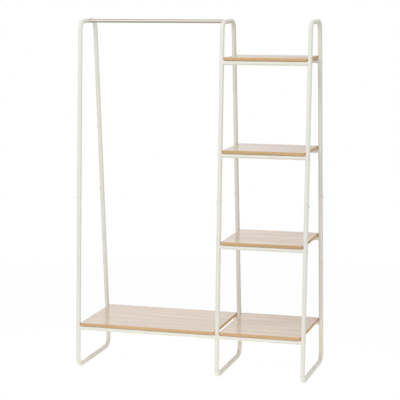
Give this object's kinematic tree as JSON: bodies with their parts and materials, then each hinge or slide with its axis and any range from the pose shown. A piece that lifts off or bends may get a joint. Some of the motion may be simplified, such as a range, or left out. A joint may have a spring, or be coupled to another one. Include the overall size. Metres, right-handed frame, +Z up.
{
  "type": "clothes rack",
  "caption": "Free-standing clothes rack of bent steel tube with a hanging rail over a wide low shelf and a narrow bay of wooden shelves beside it.",
  "frame": {"origin": "on the floor, under the middle of the rack's bounding box", "axes": "+X to the right seen from the front, from the hanging bay to the shelf bay; -Y to the front; +Z up"},
  "size_m": [1.02, 0.3982, 1.5],
  "materials": {
    "cream_paint": "satin cream-white powder coat",
    "wood_laminate": "semi-gloss light wood laminate with a matching edge band",
    "plated_rail": "polished plating, slightly warm",
    "zinc": "zinc plated",
    "bare_steel": "plain steel, hidden inside the tubes"
  },
  "bodies": {
    "root": {"left_frame_upper": "cream_paint", "left_frame_lower": "cream_paint", "left_frame_sleeves": "bare_steel", "left_frame_bolts": "zinc", "middle_frame_upper": "cream_paint", "middle_frame_lower": "cream_paint", "middle_frame_sleeves": "bare_steel", "middle_frame_bolts": "zinc", "right_frame_upper": "cream_paint", "right_frame_lower": "cream_paint", "right_frame_sleeves": "bare_steel", "right_frame_bolts": "zinc", "frame_joint_screws": "zinc", "middle_frame_studs": "zinc", "hanging_rail": "plated_rail", "hanging_rail_plugs": "bare_steel", "hanging_rail_bolts": "zinc", "wide_shelf_board": "wood_laminate", "wide_shelf_front_rail": "cream_paint", "wide_shelf_rear_rail": "cream_paint", "wide_shelf_rail_plugs": "bare_steel", "wide_shelf_screws": "zinc", "bottom_shelf_board": "wood_laminate", "bottom_shelf_front_rail": "cream_paint", "bottom_shelf_rear_rail": "cream_paint", "bottom_shelf_rail_plugs": "bare_steel", "bottom_shelf_screws": "zinc", "second_shelf_board": "wood_laminate", "second_shelf_front_rail": "cream_paint", "second_shelf_rear_rail": "cream_paint", "second_shelf_rail_plugs": "bare_steel", "second_shelf_screws": "zinc", "third_shelf_board": "wood_laminate", "third_shelf_front_rail": "cream_paint", "third_shelf_rear_rail": "cream_paint", "third_shelf_rail_plugs": "bare_steel", "third_shelf_screws": "zinc", "top_shelf_board": "wood_laminate", "top_shelf_front_rail": "cream_paint", "top_shelf_rear_rail": "cream_paint", "top_shelf_rail_plugs": "bare_steel", "top_shelf_screws": "zinc"}
  },
  "joints": []
}
